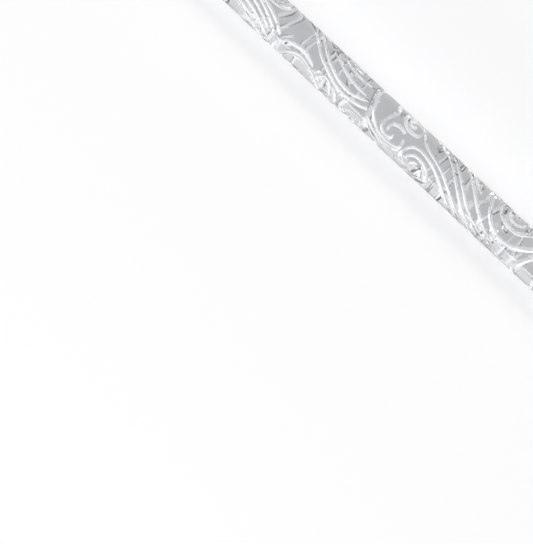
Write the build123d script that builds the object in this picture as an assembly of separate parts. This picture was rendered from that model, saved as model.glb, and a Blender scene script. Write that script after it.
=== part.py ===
from build123d import *
import math
import os

# The rod, in millimetres, with its axis along X and its middle at the origin
rod_diameter = 20.0
rod_length = 330.0
end_edge_radius = 0.8

rod_radius = rod_diameter / 2


def textured_rod():
    """The solid rod with rounded end edges."""
    blank = Cylinder(rod_radius, rod_length, rotation=(0, 90, 0))
    end_edges = blank.edges().filter_by(GeomType.CIRCLE)
    return fillet(end_edges, end_edge_radius)


os.makedirs("parts", exist_ok=True)
rod = textured_rod()
export_step(rod, "parts/textured_rod.step")
print("textured_rod", round(rod.volume), "mm3, of", round(math.pi * rod_radius**2 * rod_length), "mm3")
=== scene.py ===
import math

import bmesh
import bpy
import numpy as np
from mathutils import Matrix, Vector, kdtree
from mathutils.geometry import delaunay_2d_cdt


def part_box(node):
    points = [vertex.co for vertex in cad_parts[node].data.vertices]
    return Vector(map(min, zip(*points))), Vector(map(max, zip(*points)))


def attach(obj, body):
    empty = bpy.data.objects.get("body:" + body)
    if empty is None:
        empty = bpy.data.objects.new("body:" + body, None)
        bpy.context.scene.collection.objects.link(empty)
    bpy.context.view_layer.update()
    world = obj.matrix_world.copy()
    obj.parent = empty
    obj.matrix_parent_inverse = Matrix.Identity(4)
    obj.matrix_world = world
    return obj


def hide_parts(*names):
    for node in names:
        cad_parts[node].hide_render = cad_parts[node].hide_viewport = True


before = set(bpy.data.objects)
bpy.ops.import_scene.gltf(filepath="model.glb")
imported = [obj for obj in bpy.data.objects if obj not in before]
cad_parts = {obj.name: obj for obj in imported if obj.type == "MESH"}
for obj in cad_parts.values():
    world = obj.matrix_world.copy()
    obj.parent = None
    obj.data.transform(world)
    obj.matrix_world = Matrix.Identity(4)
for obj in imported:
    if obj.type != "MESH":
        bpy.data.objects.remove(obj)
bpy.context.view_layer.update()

# Lengths of the rod are in millimetres until they go into a mesh
MM = 0.001
rod_low, rod_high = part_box("textured_rod")
ROD_RADIUS = rod_high.z / MM
HALF_LENGTH = rod_high.x / MM
END_EDGE_RADIUS = 0.8
END_EDGE_STEPS = 5
# How far from the middle the round surface reaches before its end edges, and its girth
SURFACE_END = HALF_LENGTH - END_EDGE_RADIUS
ONE_TURN = math.tau * ROD_RADIUS

# The engraved pattern: one motif, repeated along the rod with a turn at each repeat, and plain surface at each end.
# The uppermost share is the place round the motif that lies on top
PATTERN_REPEAT = 94.0
PATTERN_OFFSET = 5.0
REPEAT_TURN_SHARE = 0.30
UPPERMOST_SHARE = 0.40
PLAIN_END_LENGTH = 8.0

# A groove of size 1. The depth of a broader or finer groove goes with its breadth
GROOVE_HALF_WIDTH = 1.0
GROOVE_DEPTH = 0.75
RIM_SOFTNESS = 1.25
# Each end of a groove rises to the surface over the run-out, down to a least share of its size
GROOVE_RUN_OUT = 1.5
LEAST_FULLNESS = 0.02
# Grooves are looked up by class of size, so that a fine one isn't missed beside a broad one. A place belongs to the
# nearest point of a groove where it lies no further than the foot reach ahead of it or behind it
SIZE_CLASSES = ((0.0, 0.85), (0.85, 1.1), (1.1, math.inf))
FOOT_REACH = 0.12

# How finely the surface is laid out: steps along the grooves, rows across them as shares of the half width, and
# steps on the lands and along the seam
PATH_STEP = 0.1
LEAST_PATH_STEPS = 8
ALONG_STEP = 0.62
LEAST_ALONG_STEPS = 2
RIM_SHARES = (-1, 1)
ROW_SHARES = (-0.86, -0.62, -0.32, 0.0, 0.32, 0.62, 0.86)
LAND_STEP = 1.1
LAND_ROW_STEP = LAND_STEP * 0.87
LAND_COLUMNS = math.ceil(ONE_TURN / LAND_STEP)
SEAM_STEP = 0.5
# No two points are closer than this, and the lands' points keep off the rims
CLOSEST = 0.17
LAND_CLEARANCE = CLOSEST * 1.5
# Grooves this near to the seam count on its other side too
SEAM_MARGIN = 3 * GROOVE_HALF_WIDTH

# Tolerances in mm, but for the weld's, which is in metres
TRIANGULATION_TOLERANCE = 1e-5
SEAM_TOLERANCE = 1e-4
LEAST_GAP = 1e-6
WELD_TOLERANCE = 1e-7

# Names of the values that the mesh carries at each point
NORMAL_LAYER = "surface_normal"
GROOVE_LAYER = "groove"

# Clear acrylic: polished on the lands, duller in the grooves. The lands' grey is painted shade, standing in for the
# shadowed floor and dark surround seen through the rod; the grooves keep a pale, nearly clear tint.
# The two shares of the full depth are where a groove has lost all the painted shade and where it is wholly dull
ACRYLIC_INDEX = 1.49
LAND_PAINTED_SHADE_TINT = (0.61, 0.615, 0.625)
GROOVE_TINT = (0.97, 0.97, 0.975)
PAINTED_SHADE_GONE = 0.45
WHOLLY_DULL = 0.8
GROOVE_ROUGHNESS = 0.12
LAMP_LIGHT_TINT = (0.68, 0.69, 0.71)
# Scuffs and tool marks: grains per metre and levels of detail, and what they come to
SCUFF_GRAIN = (160, 5)
SCUFF_ROUGHNESS = 0.07
TOOL_MARK_GRAIN = (850, 2)
TOOL_MARK_HEIGHT = 0.12

# The surround's level at each height: pale at the horizon, a dark band over it, and pale overhead
SURROUND = ((0.0, 0.93), (0.13, 0.90), (0.22, 0.07), (0.44, 0.10), (0.6, 0.56))
SURROUND_TINT = (0.985, 0.992, 1.0)

# The lamps: name, place, size across and along in metres, and power in watts
LAMPS = (
    ("key", (-0.9, 0.9, 1.4), (0.42, 0.42), 6.5),
    ("strip", (0.1, -1.2, 0.26), (1.8, 0.2), 7.0),
    ("fill", (0.7, -0.5, 1.5), (0.3, 0.3), 2.2),
)

# The floor, in metres, and what it adds to its own lit colour where it is seen: everywhere, and more far off
FLOOR_RADIUS = 4.0
FLOOR_SIDES = 96
FLOOR_COLOUR = (0.9, 0.9, 0.9)
FLOOR_ROUGHNESS = 0.9
FLOOR_LIFT = 0.32
FAR_START = 0.7
FAR_REACH = 1.6
FAR_LIFT = 0.19

# A painted line of light on the floor, standing in for the light that the rod gathers there: its place and half
# width in rod radii, and its lift
PAINTED_CAUSTIC_ASIDE = -0.1
PAINTED_CAUSTIC_HALF_WIDTH = 0.2
PAINTED_CAUSTIC_LIFT = 1.0

# The camera: angles in degrees, distance, aim and range in metres, and the lens in pixels of the picture's height
CAMERA_ROLL = 43.86
CAMERA_TILT = 5
CAMERA_DISTANCE = 0.45
CAMERA_AIM = (0.0052, -0.0847, 0)
CAMERA_RANGE = (0.01, 50)
LENS_PIXELS = 1026.9
PICTURE_PIXELS = 544
SENSOR_HEIGHT = 24

# The motif's strokes: points in hundredths of the repeat along the rod and in hundredths of a turn round it
HUNDREDTH = 0.01
MOTIF_SHARES = {
    # The cloud's head: an outer brow, and a great crest whose foot sweeps off along the rod
    "brow": ((-15.7, 49.5), (-13, 52.5), (-10, 55.7), (-7, 57.3), (-4, 57.9), (-1, 57.5), (1.8, 56.4)),
    "crest": (
        (4, 43.5), (4.8, 46.5), (4.8, 49.5), (3.5, 52.2), (1, 53.7), (-2, 54.3), (-5, 53.7), (-9, 51.3),
        (-12, 48.3), (-15, 43.5), (-16.7, 39.5), (-18, 35), (-18.8, 30), (-18.6, 24), (-17.8, 19),
        (-16.5, 15), (-14, 11.5), (-11, 8.5), (-8, 6.6), (-4, 6), (0, 6.3), (4, 8), (8, 10.5), (12, 14),
        (15, 17.3), (17.5, 20.3),
    ),
    "cloud": (
        (-1.2, 45.5), (-1, 48), (-2, 49.9), (-4, 50.7), (-6.5, 49.5), (-8, 46.5), (-8.3, 43), (-7.8, 39),
        (-6.7, 35.3), (-6.2, 32), (-7, 29), (-7.8, 26), (-7, 22.5), (-5, 19), (-2, 16.8), (1, 15.8),
        (4.5, 15.8), (8, 16.5), (11.3, 17.2),
    ),
    "cloud_curl": ((-4, 46.3), (-5, 43.7), (-4.5, 41.5), (-3, 40), (0, 39.5), (3.3, 40)),
    # The two spirals beside the head, with tails that run on into the next motif
    "low_spiral": (
        (7.8, 31.3), (8.3, 33.5), (7, 36), (4, 36.8), (1, 35.8), (-1, 33.3), (-2, 30), (-1.5, 27),
        (0.5, 24.3), (3.5, 22.3), (6.5, 21.2), (9.5, 20.6), (13, 21.4), (16, 23), (19.5, 25.5), (23, 28),
        (28.7, 33.7), (35, 41), (42, 48.7), (50, 57), (55, 61.3), (60, 65), (65, 67.7), (70, 69), (77.7, 69.2),
    ),
    "low_spiral_inner": (
        (5, 30.7), (3.3, 32.7), (1.7, 32), (1.2, 29.7), (2.2, 27.3), (4.5, 25.9), (7, 26.4), (9, 28.8),
        (10.7, 32), (13, 35.3), (16, 37.7), (20, 39.2), (25, 41.5), (30, 44.7), (35, 48.7), (40, 53.3),
        (45, 59.3), (50, 65.5), (55, 70), (60, 73.2), (65, 75.2), (70, 75.7), (75, 74.3), (80, 71),
    ),
    "high_spiral": (
        (19.3, 52.5), (20, 56), (18.7, 59.3), (16, 60.8), (13, 60), (10.3, 57.5), (8, 54), (7.2, 50),
        (8, 46), (10.3, 42.8), (13, 41.7), (17, 42.2), (21, 43.5), (25, 45.7), (29, 48.7), (33, 52.3),
        (37, 56.3), (41, 61), (45, 66), (50, 71), (55, 74.3), (58, 76), (62, 78.3), (67, 79.8),
        (72, 79.7), (77, 78.3), (82, 75.6),
    ),
    "high_spiral_outer": (
        (4.8, 57.3), (7.3, 60.3), (10.5, 63), (14.5, 64.8), (18.5, 64.3), (22, 61.5), (23.8, 57.5),
        (23.3, 53), (21, 49.5), (17.7, 47.2), (14.3, 46.7), (11.5, 48.3), (10.4, 51), (10.6, 52.8),
    ),
    "high_spiral_eye": ((12.7, 55.8), (13.3, 53.2), (15, 51), (16.8, 50.7)),
    # The tight spiral between the two swells, and its tail
    "knot": (
        (25.5, 13), (26, 16), (27.8, 18.3), (30.3, 18.3), (32, 15.8), (32.3, 12.5), (31.3, 9.3), (29, 6),
        (25.5, 4), (22, 4.6), (19.5, 7), (18.5, 10.5), (18.7, 14), (20.2, 18.5), (23, 22.5), (26, 26),
        (30, 30), (34, 34.7), (38, 39.3), (42, 43.7), (46, 48), (50, 51.5), (55, 55.3), (60, 58.8),
        (65, 61.4), (70, 62.5), (74, 62), (77.3, 61),
    ),
    "knot_top": ((32, 22.7), (30, 22.8), (27.8, 21.8), (25.3, 19.5), (23.7, 16), (23, 13), (24, 10.8), (25.5, 9.8)),
    "knot_tail": (
        (34.7, 21.3), (37, 25.9), (39.7, 30.7), (43.2, 35.5), (46.5, 39.3), (50, 43.3), (55, 48.3),
        (60, 52.7), (65, 56.5), (69.5, 58.6),
    ),
    "knot_foot": ((14, 8.5), (14.3, 5.5), (15.8, 2), (18, -0.8), (21, -2.3)),
    # The shell: two arms wound together, with its stalks
    "shell": (
        (47.8, 35), (45.5, 32.7), (42.8, 29.5), (40, 25), (37.7, 19.5), (36, 14), (34.5, 8), (33.3, 2),
        (33, -4), (34, -10), (36.3, -14.7), (39.5, -17.7), (43, -18.5), (47, -17), (51, -14), (54.5, -9.7),
        (57.3, -5), (58.9, 0), (59.2, 5), (58, 9.7), (55.7, 13), (52.5, 14.3), (49.3, 13), (46.3, 9.8),
        (44.3, 6), (43.1, 2), (43.4, -0.9), (45, -1.9), (46.8, -0.6),
    ),
    "shell_inner": (
        (51.5, 18.2), (49.5, 17), (46.5, 14.4), (43.7, 10.5), (41.3, 6), (39.6, 1.5), (39.3, -2),
        (40.7, -5), (43.5, -6.9), (46.5, -6.8), (49.5, -5.3), (52, -2.5), (53.5, 1), (53.6, 4.5),
        (52.3, 6.3), (50.8, 5),
    ),
    "shell_stalk": ((50.3, 36.5), (50.4, 32), (50.8, 27.5), (52.2, 21.8)),
    "shell_foot": ((30.8, -17.8), (33, -20.5), (36, -22.3), (40, -23.3), (44, -23), (48, -21), (50, -19.6)),
    "shell_hook": ((52, -18.2), (53.2, -19.9), (54.6, -21.3)),
    "shell_post": ((28.5, -1), (28.2, -5.5), (28.1, -10), (28.3, -15.3)),
    # The swells: long waves under the cloud, each wound up at one end
    "swell_1": (
        (-31.8, -3), (-33.5, -4.8), (-35.8, -4), (-37.3, -1.5), (-36.3, 1.2), (-34, 3.2), (-31.3, 3.3),
        (-29, 1), (-27.6, -2.5), (-28, -6.3), (-30.5, -9.3), (-34, -12.2), (-37.5, -13), (-41, -12),
        (-44.3, -8.5), (-46.4, -4), (-46.8, 1), (-46, 6), (-43.5, 11), (-40, 15.5), (-36, 18.5),
        (-32, 19.5), (-28, 18.5), (-24, 15.5), (-20, 11), (-16, 6), (-11, 2), (-6, -0.5), (-1, -1),
        (4, 0.5), (8, 2.5), (11.3, 4.5),
    ),
    "swell_2": (
        (-36.5, -9), (-39.5, -7), (-41.5, -3.5), (-41.8, 0), (-40.5, 4), (-37, 7.3), (-33, 8.6), (-30, 8.3),
        (-27, 6.3), (-24, 2), (-21, -2.2), (-18, -6.3), (-15, -9.7), (-10, -14), (-5, -17.4), (0, -18.5),
        (5, -17.6), (10, -15.5), (15, -12.2), (19, -9.3), (22, -6), (24.5, -1.3),
    ),
    "swell_3": (
        (-29.3, -30), (-33, -28.7), (-35.5, -26), (-36.2, -23.3), (-35.7, -19.5), (-33.8, -16.3),
        (-31, -13.8), (-28, -12.3), (-25, -12.4), (-21, -14.4), (-17, -17.4), (-13, -20), (-8, -22.4),
        (-3, -23.2), (2, -23.2), (6, -22.6), (10, -21), (14, -18.8), (18, -16), (21, -13), (25.5, -7.3),
    ),
    "swell_4": (
        (-31.5, -24.5), (-32.6, -22), (-31.5, -19.3), (-29, -17.6), (-25.5, -17.7), (-21, -19.6), (-16, -22.6),
        (-12, -25.4), (-8, -28.2), (-4, -30.4), (0, -31.4), (5, -31.1), (10, -29.8), (15, -27.2),
        (20, -23.7), (25, -19),
    ),
    "swell_4_upper": ((-4, -26.7), (0, -27.3), (6, -26.9), (12, -24.6), (18, -20.8), (22, -17.5)),
    "swell_5": (
        (-21.8, -24.5), (-19, -25.2), (-16, -27), (-13, -29.4), (-10, -32.4), (-6, -34.5), (0, -35.2),
        (5, -34.6), (10, -33), (15, -30.6), (20, -27.8), (25, -24), (28.3, -20),
    ),
    # The small curls where the swells begin
    "curl": (
        (-29.3, -23.3), (-28.3, -21.5), (-26.3, -21.5), (-24.8, -24), (-24.3, -27.5), (-24.5, -31),
        (-24, -34.5), (-22.5, -37.5), (-20.8, -38.7), (-19.6, -37.3), (-19.8, -35),
    ),
    "curl_outer": (
        (-27.7, -34.3), (-27.8, -37), (-26.5, -40.5), (-23.5, -43.2), (-20, -43.3), (-17, -41.5),
        (-15.2, -38), (-15.2, -34.5), (-16.8, -31.7), (-18.8, -30.4), (-20.5, -31),
    ),
    "drop": ((-38.3, -30.5), (-36.8, -32.8), (-34, -34.4), (-30.7, -34.8)),
    "bud_cover": ((-39.3, -36), (-37, -36.8), (-34.6, -38.2), (-33.1, -41), (-33.7, -44.3), (-35, -47)),
    "bud": (
        (-43.6, -42.5), (-45, -44.7), (-45, -47.6), (-43.2, -49.7), (-40.7, -49.6), (-38.7, -47.5),
        (-37.3, -44), (-37.2, -41.3), (-38.4, -40), (-40, -41), (-40.8, -43.4),
    ),
}

# The strokes' breadths in mm, evenly spaced from start to end: broad on the heads and bends, fine on the tails
BREADTHS = {
    "brow": (1.5, 2.4, 2.5, 1.9),
    "crest": (1.8, 2.0, 1.6, 2.1, 2.6, 2.7, 2.0, 1.6, 1.4),
    "cloud": (1.5, 1.6, 1.9, 2.0, 1.8, 2.4, 2.3, 1.6, 1.4),
    "cloud_curl": (1.6, 1.8, 1.6),
    "low_spiral": (2.1, 1.9, 1.6, 1.6, 1.5, 1.6, 1.7, 1.8, 1.8, 1.6),
    "low_spiral_inner": (1.7, 1.7, 1.5, 1.5, 1.6, 1.7, 1.8, 1.8, 1.6),
    "high_spiral": (1.6, 1.8, 1.7, 1.7, 1.5, 1.6, 1.7, 1.9, 1.7),
    "high_spiral_outer": (1.4, 2.0, 2.7, 2.3, 1.7, 1.6),
    "high_spiral_eye": (1.6, 1.6),
    "knot": (1.5, 1.8, 1.9, 2.5, 2.0, 1.6, 1.5, 1.6, 1.7, 1.8, 1.7, 1.5),
    "knot_top": (2.3, 2.0, 1.7, 1.6),
    "knot_tail": (1.5, 1.8, 1.9, 1.6),
    "knot_foot": (2.2, 1.8, 1.5),
    "shell": (1.5, 1.7, 2.0, 2.4, 2.3, 1.9, 2.2, 2.4, 2.0, 1.7, 1.6),
    "shell_inner": (1.5, 1.7, 2.0, 1.9, 1.7, 1.7, 1.6),
    "shell_stalk": (1.5, 1.9, 2.1),
    "shell_foot": (1.6, 2.2, 2.2, 1.6),
    "shell_hook": (1.6, 1.6),
    "shell_post": (1.6, 1.9, 1.8),
    "swell_1": (1.6, 1.7, 1.7, 1.9, 2.2, 2.0, 2.3, 2.7, 2.7, 2.2, 1.7),
    "swell_2": (1.6, 1.8, 2.0, 2.6, 2.8, 2.7, 2.4, 2.0, 1.6),
    "swell_3": (1.7, 1.9, 2.3, 2.4, 2.0, 1.8, 1.7, 1.6),
    "swell_4": (1.6, 1.7, 1.8, 1.8, 2.0, 1.8, 1.6),
    "swell_4_upper": (1.4, 1.6, 1.6, 1.5),
    "swell_5": (1.5, 1.8, 2.2, 2.2, 1.9, 1.6),
    "curl": (1.6, 1.8, 2.2, 1.8, 1.6),
    "curl_outer": (1.6, 2.0, 2.1, 1.8, 1.6),
    "drop": (1.7, 2.1, 1.8),
    "bud_cover": (1.8, 2.2, 1.7),
    "bud": (1.5, 1.7, 1.7, 1.6, 1.5),
}


def evenly_spaced(line, step, least):
    """Points about one step apart along a line, in no fewer steps than the least."""
    run = np.concatenate([[0], np.cumsum(np.linalg.norm(np.diff(line, axis=0), axis=1))])
    even = np.linspace(0, run[-1], max(least, round(run[-1] / step)) + 1)
    return np.column_stack([np.interp(even, run, line[:, k]) for k in (0, 1)])


def smooth_path(shares):
    """Points and directions every PATH_STEP along the natural cubic spline through a stroke's points, in mm."""
    corners = np.array(shares) * HUNDREDTH * (PATTERN_REPEAT, ONE_TURN)
    gaps = np.linalg.norm(np.diff(corners, axis=0), axis=1)
    ticks = np.concatenate([[0], np.cumsum(gaps)])
    slopes = np.diff(corners, axis=0) / gaps[:, None]
    count = len(corners)
    matrix = np.eye(count)
    right = np.zeros((count, 2))
    for i in range(1, count - 1):
        matrix[i, i - 1:i + 2] = gaps[i - 1], 2 * (gaps[i - 1] + gaps[i]), gaps[i]
        right[i] = 6 * (slopes[i] - slopes[i - 1])
    bends = np.linalg.solve(matrix, right)
    fine = np.linspace(0, ticks[-1], int(ticks[-1] / PATH_STEP * 2) + 2)
    span = np.clip(np.searchsorted(ticks, fine, side="right") - 1, 0, count - 2)
    ahead = (ticks[span + 1] - fine)[:, None]
    back = (fine - ticks[span])[:, None]
    gap = gaps[span][:, None]
    curve = (bends[span] * ahead**3 + bends[span + 1] * back**3) / (6 * gap)
    curve += (corners[span] / gap - bends[span] * gap / 6) * ahead
    curve += (corners[span + 1] / gap - bends[span + 1] * gap / 6) * back
    points = evenly_spaced(curve, PATH_STEP, LEAST_PATH_STEPS)
    directions = np.gradient(points, axis=0)
    return points, directions / np.linalg.norm(directions, axis=1)[:, None]


def motif_strokes():
    """Points, directions and sizes of the motif's strokes."""
    strokes = []
    for name, shares in MOTIF_SHARES.items():
        points, directions = smooth_path(shares)
        along = np.linspace(0, 1, len(points))
        breadth = np.interp(along, np.linspace(0, 1, len(BREADTHS[name])), BREADTHS[name])
        strokes.append((points, directions, breadth / (2 * GROOVE_HALF_WIDTH)))
    return strokes


def groove_paths():
    """Every groove on the unrolled rod, cut off before the plain ends: its points, directions and sizes."""
    limit = HALF_LENGTH - PLAIN_END_LENGTH
    strokes = motif_strokes()
    copies = math.ceil(limit / PATTERN_REPEAT) + 1
    paths = []
    for copy in range(-copies, copies + 1):
        shift = np.array([PATTERN_OFFSET + copy * PATTERN_REPEAT, copy * REPEAT_TURN_SHARE * ONE_TURN])
        for points, directions, sizes in strokes:
            moved = points + shift
            inside = np.concatenate([[0], np.abs(moved[:, 0]) < limit, [0]]).astype(int)
            starts, stops = np.flatnonzero(np.diff(inside) > 0), np.flatnonzero(np.diff(inside) < 0)
            for start, stop in zip(starts, stops):
                if stop - start > 2 * GROOVE_RUN_OUT / PATH_STEP:
                    steps = np.arange(stop - start)
                    from_ends = np.minimum(steps, steps[::-1]) * PATH_STEP
                    risen = np.sin(np.minimum(from_ends / GROOVE_RUN_OUT, 1) * math.pi / 2)
                    fullness = np.maximum(risen, LEAST_FULLNESS)
                    paths.append((moved[start:stop], directions[start:stop], fullness * sizes[start:stop]))
    return paths


def wrapped(around):
    """A place round the rod brought into one turn."""
    return around % ONE_TURN


def off_the_seam(around):
    """Whether a place round the rod is clear of the seam's own points."""
    return CLOSEST < around < ONE_TURN - CLOSEST


def beside(path, share):
    """Evenly spaced places along a groove, at a share of its half width to one side."""
    points, directions, sizes = path
    sideways = np.column_stack([-directions[:, 1], directions[:, 0]])
    line = points + sideways * (share * GROOVE_HALF_WIDTH * sizes)[:, None]
    return evenly_spaced(line, ALONG_STEP, LEAST_ALONG_STEPS).tolist()


def laid_out_points(paths):
    """Points of the seam, the ends and the grooves on the unrolled rod, and the rims' edges between them."""
    down = math.ceil(2 * SURFACE_END / SEAM_STEP)
    cells = {}
    chosen = []
    rims = []

    def offer(x, around, closest):
        """The number of a new point, or of one that is already there and that close."""
        key = (math.floor(x / CLOSEST), math.floor(around / CLOSEST))
        for i in (-1, 0, 1):
            for j in (-1, 0, 1):
                for number in cells.get((key[0] + i, key[1] + j), ()):
                    if math.dist(chosen[number], (x, around)) < closest:
                        return number
        cells.setdefault(key, []).append(len(chosen))
        chosen.append((x, around))
        return len(chosen) - 1

    for step in range(down + 1):
        for side in (0, ONE_TURN):
            offer(-SURFACE_END + 2 * SURFACE_END * step / down, side, 0)
    for step in range(1, LAND_COLUMNS):
        for x in (-SURFACE_END, SURFACE_END):
            offer(x, ONE_TURN * step / LAND_COLUMNS, 0)
    for share in (*RIM_SHARES, *ROW_SHARES):
        for path in paths:
            last = None
            for x, around in beside(path, share):
                around = wrapped(around)
                number = offer(x, around, CLOSEST) if off_the_seam(around) else None
                if share in RIM_SHARES and None not in (last, number) and last != number:
                    if abs(chosen[last][1] - chosen[number][1]) < ONE_TURN / 2:
                        rims.append((last, number))
                last = number
    return chosen, rims


def land_points(field):
    """Points of the uncut surface between the grooves, in staggered rows."""
    rows = math.ceil(2 * SURFACE_END / LAND_ROW_STEP)
    lands = []
    for row in range(1, rows):
        x = -SURFACE_END + 2 * SURFACE_END * row / rows
        for step in range(LAND_COLUMNS):
            around = ONE_TURN * (step + 0.5 + (row % 2) * 0.5) / LAND_COLUMNS
            if off_the_seam(around) and field.clearance(x, around) > LAND_CLEARANCE:
                lands.append((x, around))
    return lands


class GrooveField:
    """The depth of the deepest groove at any place on the unrolled rod, and how it slopes there."""

    def __init__(self, paths):
        points, directions, sizes = (np.concatenate([path[k] for path in paths]) for k in range(3))
        points[:, 1] = wrapped(points[:, 1])
        low, high = points[:, 1] < SEAM_MARGIN, points[:, 1] > ONE_TURN - SEAM_MARGIN
        turn = np.array([0, ONE_TURN])
        self.points = np.concatenate([points, points[low] + turn, points[high] - turn])
        self.directions = np.concatenate([directions, directions[low], directions[high]])
        self.sizes = np.concatenate([sizes, sizes[low], sizes[high]])
        self.trees = []
        for least, most in SIZE_CLASSES:
            members = np.flatnonzero((self.sizes >= least) & (self.sizes < most)).tolist()
            tree = kdtree.KDTree(len(members))
            for i in members:
                tree.insert((*self.points[i], 0), i)
            tree.balance()
            self.trees.append(tree)

    def clearance(self, x, around):
        """How far a place is from the nearest groove's rim."""
        found = [tree.find((x, around, 0)) for tree in self.trees]
        return min(gap - GROOVE_HALF_WIDTH * self.sizes[i] for _, i, gap in found)

    def depths(self, places):
        """Depth, and its slope along and round the rod, at each place."""
        lowered = np.zeros(len(places))
        slope = np.zeros((len(places), 2))
        for tree in self.trees:
            nearest = np.array([tree.find((x, around, 0))[1] for x, around in places])
            away = places - self.points[nearest]
            direction = self.directions[nearest]
            along = (away * direction).sum(axis=1)
            away -= along[:, None] * direction
            gap = np.linalg.norm(away, axis=1)
            width = GROOVE_HALF_WIDTH * self.sizes[nearest]
            depth = GROOVE_DEPTH * self.sizes[nearest] * (np.abs(along) < FOOT_REACH)
            share = np.minimum(gap / width, 1)
            deep = depth * (1 - share**2) ** RIM_SOFTNESS
            steepness = -2 * RIM_SOFTNESS * depth / width * share * (1 - share**2) ** (RIM_SOFTNESS - 1)
            deeper = deep > lowered
            lowered[deeper] = deep[deeper]
            slope[deeper] = (steepness[:, None] * away / np.maximum(gap, LEAST_GAP)[:, None])[deeper]
        return lowered, slope


def rolled_up(places, triangles, field):
    """The flat surface with its grooves, rolled round the rod's axis and welded along the seam."""
    lowered, slope = field.depths(places)
    angles = math.pi / 2 + places[:, 1] / ROD_RADIUS - math.tau * UPPERMOST_SHARE
    radii = ROD_RADIUS - lowered
    bm = bmesh.new()
    normal_layer = bm.verts.layers.float_vector.new(NORMAL_LAYER)
    groove_layer = bm.verts.layers.float.new(GROOVE_LAYER)
    verts = []
    seam = []
    columns = (places.tolist(), angles.tolist(), radii.tolist(), slope.tolist(), lowered.tolist())
    for (x, around), angle, radius, (along_slope, around_slope), low in zip(*columns):
        outward = Vector((0, math.cos(angle), math.sin(angle)))
        sideways = Vector((0, -math.sin(angle), math.cos(angle)))
        vert = bm.verts.new((x * MM, radius * outward.y * MM, radius * outward.z * MM))
        tilt = along_slope * Vector((1, 0, 0)) + around_slope * ROD_RADIUS / radius * sideways
        vert[normal_layer] = (outward + tilt).normalized()
        vert[groove_layer] = low / GROOVE_DEPTH
        verts.append(vert)
        if around < SEAM_TOLERANCE or around > ONE_TURN - SEAM_TOLERANCE:
            seam.append(vert)
    for a, b, c in triangles:
        bm.faces.new((verts[a], verts[c], verts[b]))
    bmesh.ops.remove_doubles(bm, verts=seam, dist=WELD_TOLERANCE)
    return bm


def close_end(bm, side):
    """A rounded edge and a flat face on one end of the rolled surface."""
    normal_layer = bm.verts.layers.float_vector[NORMAL_LAYER]
    groove_layer = bm.verts.layers.float[GROOVE_LAYER]
    rim = [edge for edge in bm.edges if edge.is_boundary and edge.verts[0].co.x * side > 0]
    for step in range(1, END_EDGE_STEPS + 1):
        lean = math.pi / 2 * step / END_EDGE_STEPS
        radius = (ROD_RADIUS - END_EDGE_RADIUS * (1 - math.cos(lean))) * MM
        along = Vector((side * (SURFACE_END + END_EDGE_RADIUS * math.sin(lean)) * MM, 0, 0))
        grown = bmesh.ops.extrude_edge_only(bm, edges=rim)["geom"]
        for vert in (element for element in grown if isinstance(element, bmesh.types.BMVert)):
            outward = Vector((0, vert.co.y, vert.co.z)).normalized()
            vert.co = outward * radius + along
            vert[normal_layer] = outward * math.cos(lean) + Vector((side * math.sin(lean), 0, 0))
            vert[groove_layer] = 0
        rim = [element for element in grown if isinstance(element, bmesh.types.BMEdge) and element.is_boundary]
    cap = bmesh.ops.contextual_create(bm, geom=rim)["faces"]
    for vert in bmesh.ops.poke(bm, faces=cap)["verts"]:
        vert[normal_layer] = Vector((side, 0, 0))
        vert[groove_layer] = 0


def finished(bm, name, material):
    """A new smooth object from a bmesh, with its material."""
    mesh = bpy.data.meshes.new(name)
    bm.to_mesh(mesh)
    bm.free()
    piece = bpy.data.objects.new(name, mesh)
    bpy.context.scene.collection.objects.link(piece)
    mesh.materials.append(material)
    for face in mesh.polygons:
        face.use_smooth = True
    normals = np.zeros(len(mesh.vertices) * 3, np.float32)
    mesh.attributes[NORMAL_LAYER].data.foreach_get("vector", normals)
    mesh.normals_split_custom_set_from_vertices(normals.reshape(-1, 3))
    mesh.attributes.remove(mesh.attributes[NORMAL_LAYER])
    return piece


def engraved_rod(material):
    """The rod: its surface laid out flat with its grooves, rolled up, and closed at both ends."""
    paths = groove_paths()
    field = GrooveField(paths)
    chosen, rims = laid_out_points(paths)
    flat = [Vector(place) for place in chosen + land_points(field)]
    flat, _, triangles, _, _, _ = delaunay_2d_cdt(flat, rims, [], 0, TRIANGULATION_TOLERANCE)
    bm = rolled_up(np.array([tuple(place) for place in flat]), triangles, field)
    for side in (-1, 1):
        close_end(bm, side)
    bmesh.ops.recalc_face_normals(bm, faces=bm.faces)
    piece = finished(bm, "engraved_rod", material)
    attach(piece, "root")
    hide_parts("textured_rod")


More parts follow.
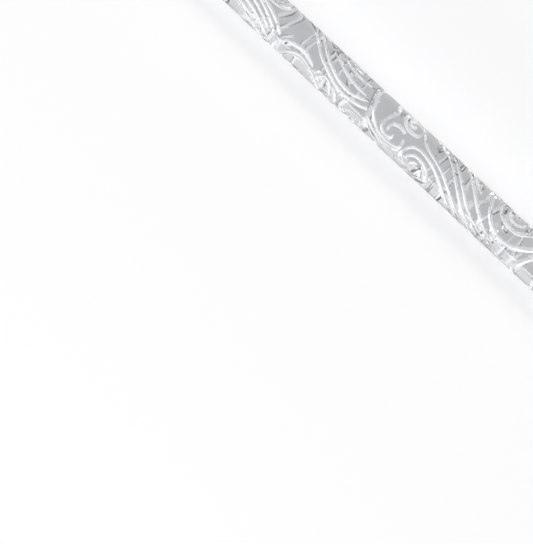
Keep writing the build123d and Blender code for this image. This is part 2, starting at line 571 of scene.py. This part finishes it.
def clear_acrylic():
    """Clear cast acrylic: polished on the lands, a little frosted by the cutter in the grooves."""
    material = bpy.data.materials.new("clear_acrylic")
    material.use_nodes = True
    tree = material.node_tree
    tree.nodes.clear()
    output = tree.nodes.new("ShaderNodeOutputMaterial")
    shader = tree.nodes.new("ShaderNodeBsdfPrincipled")
    shader.inputs["Transmission Weight"].default_value = 1.0
    shader.inputs["IOR"].default_value = ACRYLIC_INDEX
    attribute = tree.nodes.new("ShaderNodeAttribute")
    attribute.attribute_name = GROOVE_LAYER
    groove = attribute.outputs["Fac"]
    place = tree.nodes.new("ShaderNodeTexCoord").outputs["Object"]

    def spread(value, full, result):
        """A result that grows with the value from nothing, and stays where the value is full."""
        ranged = tree.nodes.new("ShaderNodeMapRange")
        ranged.inputs["From Max"].default_value = full
        ranged.inputs["To Max"].default_value = result
        tree.links.new(value, ranged.inputs["Value"])
        return ranged.outputs["Result"]

    def noise(scale, detail):
        """A noise value over the object, with its grain count per metre."""
        grain = tree.nodes.new("ShaderNodeTexNoise")
        grain.inputs["Scale"].default_value = scale
        grain.inputs["Detail"].default_value = detail
        tree.links.new(place, grain.inputs["Vector"])
        return grain.outputs["Fac"]

    def combined(operation, first, second):
        """The result of one operation on two outputs."""
        maths = tree.nodes.new("ShaderNodeMath")
        maths.operation = operation
        tree.links.new(first, maths.inputs[0])
        tree.links.new(second, maths.inputs[1])
        return maths.outputs["Value"]

    # Painted shade: the lands' colour is darkened to grey for the shadowed floor and dark surround seen through the
    # rod, and it gives way to the grooves' pale tint with depth
    painted_shade_mix = tree.nodes.new("ShaderNodeMix")
    painted_shade_mix.data_type = "RGBA"
    painted_shade_mix.inputs["A"].default_value = (*LAND_PAINTED_SHADE_TINT, 1)
    painted_shade_mix.inputs["B"].default_value = (*GROOVE_TINT, 1)
    tree.links.new(spread(groove, PAINTED_SHADE_GONE, 1), painted_shade_mix.inputs["Factor"])
    tree.links.new(painted_shade_mix.outputs["Result"], shader.inputs["Base Color"])
    # Faint scuffs make the lands a little duller in places, and the cutter leaves the grooves duller still
    scuffs = spread(noise(*SCUFF_GRAIN), 1, SCUFF_ROUGHNESS)
    dullness = combined("ADD", spread(groove, WHOLLY_DULL, GROOVE_ROUGHNESS), scuffs)
    tree.links.new(dullness, shader.inputs["Roughness"])
    # Tool marks: a fine unevenness that lies in the grooves alone
    marks = tree.nodes.new("ShaderNodeBump")
    marks.inputs["Distance"].default_value = TOOL_MARK_HEIGHT * MM
    tree.links.new(combined("MULTIPLY", noise(*TOOL_MARK_GRAIN), groove), marks.inputs["Height"])
    tree.links.new(marks.outputs["Normal"], shader.inputs["Normal"])
    # The lamps' light passes straight through, tinted, so that the shadow is a faint one
    lamp_light = tree.nodes.new("ShaderNodeBsdfTransparent")
    lamp_light.inputs["Color"].default_value = (*LAMP_LIGHT_TINT, 1)
    path = tree.nodes.new("ShaderNodeLightPath")
    mix = tree.nodes.new("ShaderNodeMixShader")
    tree.links.new(path.outputs["Is Shadow Ray"], mix.inputs["Fac"])
    tree.links.new(shader.outputs["BSDF"], mix.inputs[1])
    tree.links.new(lamp_light.outputs["BSDF"], mix.inputs[2])
    tree.links.new(mix.outputs["Shader"], output.inputs["Surface"])
    return material


def white_floor():
    """A pale floor that keeps its shadows and that the camera sees as white, also in and through the acrylic, with
    a painted line of light under the rod.
    """
    paint = bpy.data.materials.new("floor_white")
    paint.use_nodes = True
    tree = paint.node_tree
    shader = tree.nodes["Principled BSDF"]
    shader.inputs["Base Color"].default_value = (*FLOOR_COLOUR, 1)
    shader.inputs["Roughness"].default_value = FLOOR_ROUGHNESS
    shader.inputs["Specular IOR Level"].default_value = 0
    shader.inputs["Emission Color"].default_value = (1, 1, 1, 1)

    def worked(operation, first, second, clamped=False):
        """The result of one operation on two values or outputs."""
        maths = tree.nodes.new("ShaderNodeMath")
        maths.operation = operation
        maths.use_clamp = clamped
        for socket, value in zip(maths.inputs, (first, second)):
            if isinstance(value, float):
                socket.default_value = value
            else:
                tree.links.new(value, socket)
        return maths.outputs["Value"]

    path = tree.nodes.new("ShaderNodeLightPath")
    seen = worked("MAXIMUM", path.outputs["Is Glossy Ray"], path.outputs["Is Transmission Ray"])
    seen = worked("MAXIMUM", seen, path.outputs["Is Camera Ray"])
    # A painted line of light, standing in for the light that the rod gathers under itself, a little to the side
    # away from the key lamp
    place = tree.nodes.new("ShaderNodeTexCoord").outputs["Object"]
    apart = tree.nodes.new("ShaderNodeSeparateXYZ")
    tree.links.new(place, apart.inputs["Vector"])
    aside = worked("ABSOLUTE", worked("SUBTRACT", apart.outputs["Y"], PAINTED_CAUSTIC_ASIDE * ROD_RADIUS * MM), 0.0)
    near = worked("SUBTRACT", 1.0, worked("DIVIDE", aside, PAINTED_CAUSTIC_HALF_WIDTH * ROD_RADIUS * MM), clamped=True)
    under = worked("LESS_THAN", worked("ABSOLUTE", apart.outputs["X"], 0.0), HALF_LENGTH * MM)
    painted_caustic = worked("MULTIPLY", worked("MULTIPLY", near, under), PAINTED_CAUSTIC_LIFT)
    # Far from the lamps the floor is lifted to the level of the surround behind it
    span = tree.nodes.new("ShaderNodeVectorMath")
    span.operation = "LENGTH"
    tree.links.new(place, span.inputs[0])
    far = worked("DIVIDE", worked("SUBTRACT", span.outputs["Value"], FAR_START), FAR_REACH, clamped=True)
    lift = worked("ADD", worked("ADD", painted_caustic, worked("MULTIPLY", far, FAR_LIFT)), FLOOR_LIFT)
    tree.links.new(worked("MULTIPLY", seen, lift), shader.inputs["Emission Strength"])
    return paint


def lay_floor():
    """The floor that the rod lies on."""
    bm = bmesh.new()
    bmesh.ops.create_circle(bm, cap_ends=True, segments=FLOOR_SIDES, radius=FLOOR_RADIUS)
    mesh = bpy.data.meshes.new("floor")
    bm.to_mesh(mesh)
    bm.free()
    floor = bpy.data.objects.new("floor", mesh)
    bpy.context.scene.collection.objects.link(floor)
    floor.location.z = rod_low.z
    mesh.materials.append(white_floor())


def surround():
    """A pale world with one dark band, for the acrylic to mirror and bend."""
    world = bpy.data.worlds.new("studio")
    bpy.context.scene.world = world
    world.use_nodes = True
    tree = world.node_tree
    place = tree.nodes.new("ShaderNodeTexCoord")
    height = tree.nodes.new("ShaderNodeSeparateXYZ")
    ramp = tree.nodes.new("ShaderNodeValToRGB")
    bands = ramp.color_ramp.elements
    while len(bands) < len(SURROUND):
        bands.new(0.5)
    for band, (height_share, level) in zip(bands, SURROUND):
        band.position = height_share
        band.color = (*(level * share for share in SURROUND_TINT), 1)
    tree.links.new(place.outputs["Generated"], height.inputs["Vector"])
    tree.links.new(height.outputs["Z"], ramp.inputs["Fac"])
    tree.links.new(ramp.outputs["Color"], tree.nodes["Background"].inputs["Color"])


def lamps():
    """Soft lamps, each turned to the middle of the rod."""
    for name, place, size, power in LAMPS:
        lamp = bpy.data.lights.new(name, "AREA")
        lamp.shape = "RECTANGLE"
        lamp.size, lamp.size_y = size
        lamp.energy = power
        holder = bpy.data.objects.new(name, lamp)
        bpy.context.scene.collection.objects.link(holder)
        holder.location = place
        holder.rotation_euler = (-Vector(place)).to_track_quat("-Z", "Y").to_euler()


def camera():
    """The photograph's viewpoint: from above, leaning a little towards the bottom of the picture."""
    roll = math.radians(CAMERA_ROLL)
    tilt = math.radians(CAMERA_TILT)
    right = Vector((math.cos(roll), math.sin(roll), 0))
    level_up = Vector((-math.sin(roll), math.cos(roll), 0))
    back = Vector((0, 0, 1)) * math.cos(tilt) - level_up * math.sin(tilt)
    up = back.cross(right)
    place = Vector(CAMERA_AIM) + back * CAMERA_DISTANCE
    lens_data = bpy.data.cameras.new("camera")
    lens_data.sensor_fit = "VERTICAL"
    lens_data.sensor_height = SENSOR_HEIGHT
    lens_data.lens = SENSOR_HEIGHT * LENS_PIXELS / PICTURE_PIXELS
    lens_data.clip_start, lens_data.clip_end = CAMERA_RANGE
    holder = bpy.data.objects.new("camera", lens_data)
    bpy.context.scene.collection.objects.link(holder)
    turned = Matrix((right, up, back)).transposed().to_4x4()
    holder.matrix_world = Matrix.Translation(place) @ turned
    bpy.context.scene.camera = holder


engraved_rod(clear_acrylic())
lay_floor()
surround()
lamps()
camera()
bpy.context.scene.view_settings.view_transform = "Standard"
